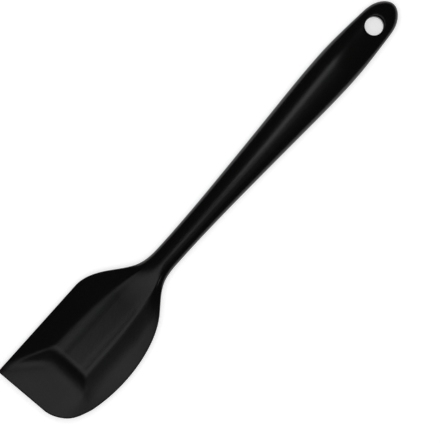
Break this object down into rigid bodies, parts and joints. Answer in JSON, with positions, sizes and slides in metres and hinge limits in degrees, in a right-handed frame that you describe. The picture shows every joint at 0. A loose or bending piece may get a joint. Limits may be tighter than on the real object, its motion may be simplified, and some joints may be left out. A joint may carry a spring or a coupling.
{
  "type": "silicone spatula",
  "caption": "Seamless silicone spatula: flat flexible blade with a straight and a curved edge, raised centre panel, thick tapered handle with a hang hole.",
  "frame": {"origin": "centre of the hang hole, on the mid-plane between the two faces", "axes": "+X along the handle to the tip of the blade, +Z out of the face; the straight edge is on the -Y side"},
  "size_m": [0.28, 0.0529, 0.0136],
  "materials": {
    "black_silicone": "satin moulded silicone",
    "glass_filled_nylon": "as moulded, sealed inside the cover",
    "spring_steel": "rolled strip, sealed inside the cover"
  },
  "bodies": {
    "root": {"silicone_cover": "black_silicone", "handle_core": "glass_filled_nylon", "steel_strip": "spring_steel"}
  },
  "joints": []
}
